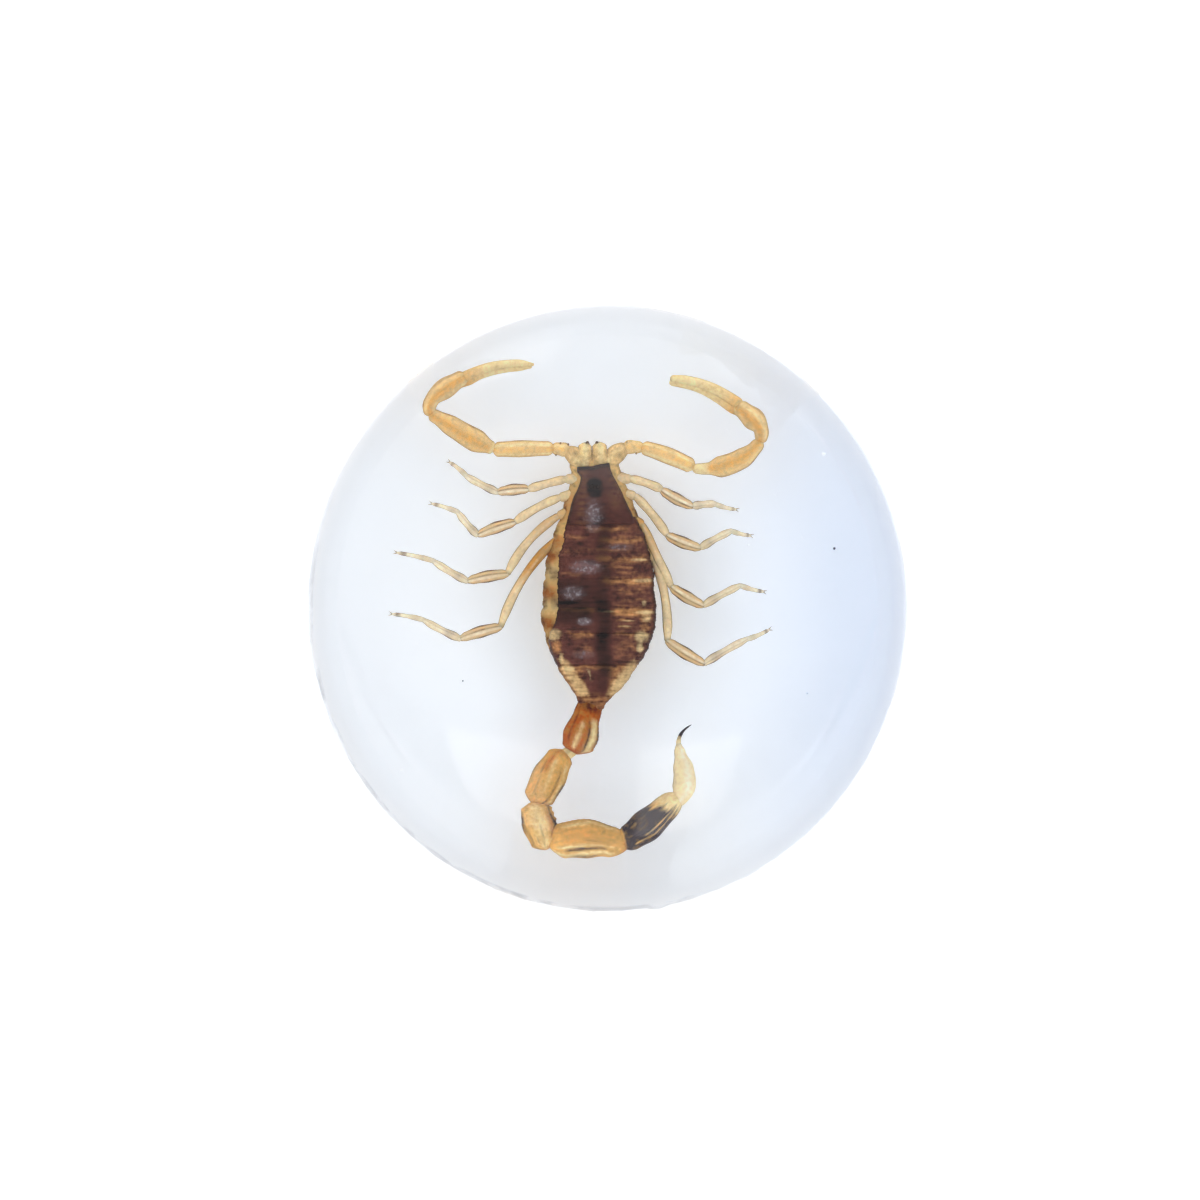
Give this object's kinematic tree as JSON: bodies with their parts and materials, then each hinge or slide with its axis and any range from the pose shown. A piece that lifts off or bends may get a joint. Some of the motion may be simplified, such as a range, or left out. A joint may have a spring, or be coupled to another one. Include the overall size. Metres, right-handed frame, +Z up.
{
  "type": "scorpion in clear resin dome",
  "caption": "Round domed block of clear resin with a flat back and a dried golden scorpion sealed inside, for display.",
  "frame": {"origin": "middle of the flat back, on the surface that the block rests on", "axes": "+Z up through the top of the dome, +Y towards the scorpion's head, +X to the right seen from above"},
  "size_m": [0.045, 0.0456, 0.0142],
  "materials": {
    "clear_resin": "polished",
    "dried_scorpion": "satin"
  },
  "bodies": {
    "root": {"resin_lower": "clear_resin", "resin_upper": "clear_resin", "scorpion": "dried_scorpion"}
  },
  "joints": []
}
